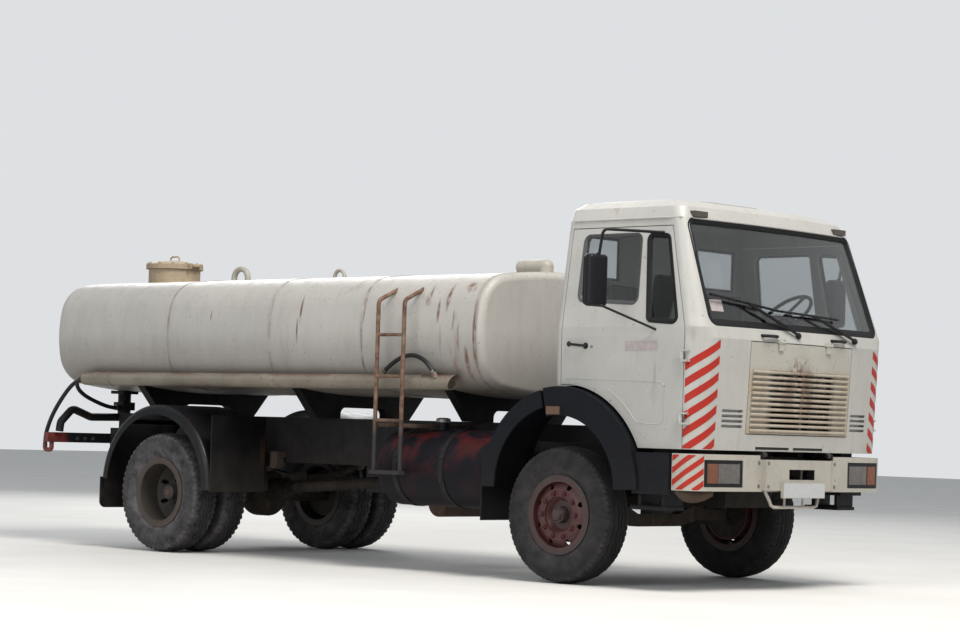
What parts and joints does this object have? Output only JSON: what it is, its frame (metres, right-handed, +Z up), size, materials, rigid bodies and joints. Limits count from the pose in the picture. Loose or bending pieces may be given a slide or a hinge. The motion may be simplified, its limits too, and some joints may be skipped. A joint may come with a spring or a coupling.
{
  "type": "tanker truck",
  "caption": "Water tanker truck with a tilting cab, oval-section tank, ladder, manhole, swinging doors, front flap, steered front wheels and twin rear wheels.",
  "frame": {"origin": "on the ground, under the middle of the truck's length and width", "axes": "+X forward, +Y to the truck's left, +Z up"},
  "size_m": [7.73, 3.2, 2.8957],
  "materials": {
    "cab_cream": "satin",
    "tank_grey": "satin",
    "frame_black": "dusty",
    "axle_iron": "dusty",
    "rim_maroon": "worn",
    "rim_brown": "dusty",
    "tyre": "dusty",
    "rubber": "matt",
    "clear_glass": "gloss",
    "drum_red": "dusty",
    "ladder_orange": "rusty",
    "lid_yellow": "rusty",
    "lamp_black": "gloss",
    "lamp_amber": "gloss",
    "lamp_red": "gloss",
    "cast_metal": "matt",
    "core_metal": "matt",
    "inside_plastic": "matt",
    "seat_cloth": "matt",
    "black_plastic": "matt"
  },
  "bodies": {
    "chassis": {"ladder_frame": "frame_black", "engine_block": "cast_metal", "gearbox": "cast_metal", "propshaft": "axle_iron", "radiator": "core_metal", "front_axle_beam": "axle_iron", "front_springs": "axle_iron", "rear_springs": "axle_iron", "rear_axle": "axle_iron", "tank_shell": "tank_grey", "tank_cradle": "frame_black", "manhole_neck": "tank_grey", "tank_fittings": "tank_grey", "hose_tubes": "tank_grey", "ladder": "ladder_orange", "fuel_drum": "drum_red", "drum_straps": "frame_black", "air_reservoirs": "frame_black", "battery_box": "frame_black", "silencer": "axle_iron", "cab_rest": "frame_black", "tilt_brackets": "frame_black", "rear_fenders": "frame_black", "chassis_arches": "black_plastic", "bumper": "cab_cream", "headlamps": "lamp_black", "tail_lamps": "lamp_red", "rear_beam": "frame_black", "water_outlet": "tank_grey", "rear_hose_outer": "rubber", "rear_hose_inner": "rubber", "front_hose_loop": "rubber"},
    "cab": {"cab_shell": "cab_cream", "cab_glass": "clear_glass", "seats": "seat_cloth", "dashboard": "inside_plastic", "steering_wheel": "black_plastic", "cab_arches": "black_plastic", "marker_lamps": "lamp_amber", "grab_handles": "black_plastic", "wipers": "black_plastic", "roof_hatch": "cab_cream"},
    "door_left": {"door_left": "cab_cream", "door_glass_left": "clear_glass", "mirror_left": "black_plastic"},
    "door_right": {"door_right": "cab_cream", "door_glass_right": "clear_glass", "mirror_right": "black_plastic"},
    "front_flap": {"front_flap": "cab_cream"},
    "manhole_lid": {"manhole_lid": "lid_yellow"},
    "knuckle_left": {"knuckle_left": "axle_iron"},
    "knuckle_right": {"knuckle_right": "axle_iron"},
    "front_wheel_left": {"front_tyre_left": "tyre", "front_rim_left": "rim_maroon"},
    "front_wheel_right": {"front_tyre_right": "tyre", "front_rim_right": "rim_maroon"},
    "rear_wheels_left": {"rear_tyres_left": "tyre", "rear_rims_left": "rim_brown"},
    "rear_wheels_right": {"rear_tyres_right": "tyre", "rear_rims_right": "rim_brown"}
  },
  "joints": [
    {"name": "cab_tilt", "type": "hinge", "parent": "chassis", "child": "cab", "pos_m": [3.785, 0, 1.004], "axis": [0, 1, 0], "range_deg": [0, 60]},
    {"name": "door_left_swing", "type": "hinge", "parent": "cab", "child": "door_left", "pos_m": [3.618, 1.192, 1.475], "axis": [0, 0, -1], "range_deg": [0, 70]},
    {"name": "door_right_swing", "type": "hinge", "parent": "cab", "child": "door_right", "pos_m": [3.618, -1.192, 1.475], "axis": [0, 0, 1], "range_deg": [0, 70]},
    {"name": "front_flap_lift", "type": "hinge", "parent": "cab", "child": "front_flap", "pos_m": [3.847, 0, 1.832], "axis": [0, -1, 0], "range_deg": [0, 80]},
    {"name": "manhole_lid_lift", "type": "hinge", "parent": "chassis", "child": "manhole_lid", "pos_m": [-3.088, 0, 2.574], "axis": [0, 1, 0], "range_deg": [0, 110]},
    {"name": "steer_left", "type": "hinge", "parent": "chassis", "child": "knuckle_left", "pos_m": [2.455, 0.84, 0.512], "axis": [0, 0, 1], "range_deg": [-38, 38]},
    {"name": "steer_right", "type": "hinge", "parent": "chassis", "child": "knuckle_right", "pos_m": [2.455, -0.84, 0.512], "axis": [0, 0, 1], "range_deg": [-38, 38]},
    {"name": "front_wheel_left_spin", "type": "hinge", "parent": "knuckle_left", "child": "front_wheel_left", "pos_m": [2.455, 1.039, 0.512], "axis": [0, 1, 0], "continuous": true},
    {"name": "front_wheel_right_spin", "type": "hinge", "parent": "knuckle_right", "child": "front_wheel_right", "pos_m": [2.455, -1.039, 0.512], "axis": [0, 1, 0], "continuous": true},
    {"name": "rear_wheels_left_spin", "type": "hinge", "parent": "chassis", "child": "rear_wheels_left", "pos_m": [-2.045, 0.937, 0.512], "axis": [0, 1, 0], "continuous": true},
    {"name": "rear_wheels_right_spin", "type": "hinge", "parent": "chassis", "child": "rear_wheels_right", "pos_m": [-2.045, -0.937, 0.512], "axis": [0, 1, 0], "continuous": true}
  ],
  "couplings": [
    {"joint": "steer_right", "follows": "steer_left", "ratio": 1}
  ]
}
